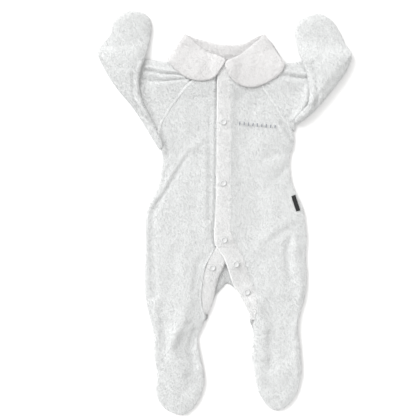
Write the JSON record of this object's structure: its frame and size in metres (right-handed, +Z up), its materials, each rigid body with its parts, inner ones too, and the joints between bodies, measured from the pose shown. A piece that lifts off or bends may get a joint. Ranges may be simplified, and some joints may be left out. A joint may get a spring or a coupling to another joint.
{
  "type": "footed baby sleepsuit",
  "caption": "Footed baby sleepsuit of white terry, laid flat, with a round collar, a snap front that opens down the leg, closed cuffs and folded-up forearms.",
  "frame": {"origin": "on the floor under the middle of the body, on the flat underside of the back panel", "axes": "+Y towards the collar, +Z up out of the front, +X towards the wearer's left side"},
  "size_m": [0.366, 0.5833, 0.0188],
  "materials": {
    "terry": "matte",
    "smooth_knit": "matte",
    "woven_label": "satin",
    "snap_plastic": "satin"
  },
  "bodies": {
    "root": {"back_panel": "terry", "front_right": "terry", "front_left": "terry", "front_band": "smooth_knit", "leg_band_left": "smooth_knit", "leg_band_right": "smooth_knit", "sleeve_right": "terry", "sleeve_left": "terry", "collar_right": "smooth_knit", "collar_left": "smooth_knit", "neck_inside": "smooth_knit", "collar_back": "smooth_knit", "side_label": "woven_label", "snap_chest": "snap_plastic", "snap_waist": "snap_plastic", "snap_crotch": "snap_plastic", "snap_left_thigh": "snap_plastic", "snap_left_knee": "snap_plastic", "snap_right_thigh": "snap_plastic"}
  },
  "joints": []
}
